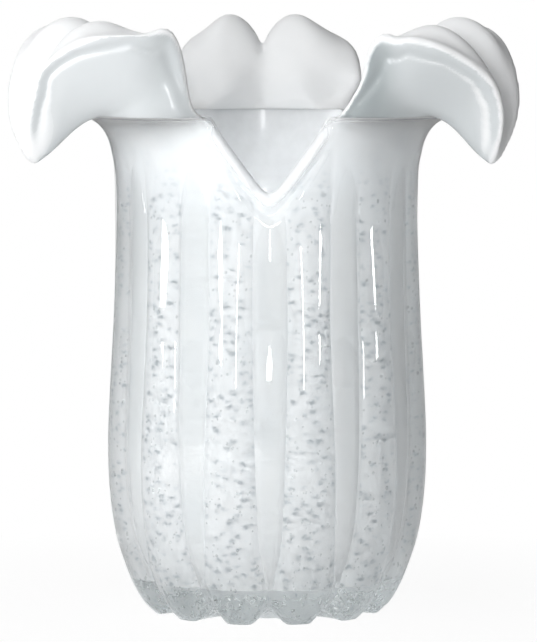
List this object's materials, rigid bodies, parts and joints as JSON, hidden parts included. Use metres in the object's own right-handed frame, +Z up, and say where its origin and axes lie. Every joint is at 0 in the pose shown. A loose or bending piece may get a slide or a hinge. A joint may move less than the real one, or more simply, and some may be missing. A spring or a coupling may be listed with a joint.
{
  "type": "glass flower vase",
  "caption": "Heavy clear glass vase with a fluted, bubbled body, smooth ribs, a deeply notched neck and frosted petals that fold out and hang over it.",
  "frame": {"origin": "centre of the flat foot, on the plane that the vase stands on", "axes": "+Z up along the axis of the vase; -Y is the front, the middle of one notch; +X is to the right as seen from the front; one petal points along +Y"},
  "size_m": [0.1992, 0.1797, 0.2376],
  "materials": {
    "clear_bubbled_glass": "fire-polished clear glass full of small bubbles",
    "clear_glass": "fire-polished clear glass",
    "frosted_glass": "acid-frosted white glass with a satin face"
  },
  "bodies": {
    "root": {"outer_casing": "clear_bubbled_glass", "bubble_liner": "clear_bubbled_glass", "base_gather": "clear_glass", "rib_01": "clear_glass", "rib_02": "clear_glass", "rib_03": "clear_glass", "rib_04": "clear_glass", "rib_05": "clear_glass", "rib_06": "clear_glass", "rib_07": "clear_glass", "rib_08": "clear_glass", "rib_09": "clear_glass", "rib_10": "clear_glass", "rib_11": "clear_glass", "rib_12": "clear_glass", "petal_left": "frosted_glass", "petal_right": "frosted_glass", "petal_back": "frosted_glass"}
  },
  "joints": []
}
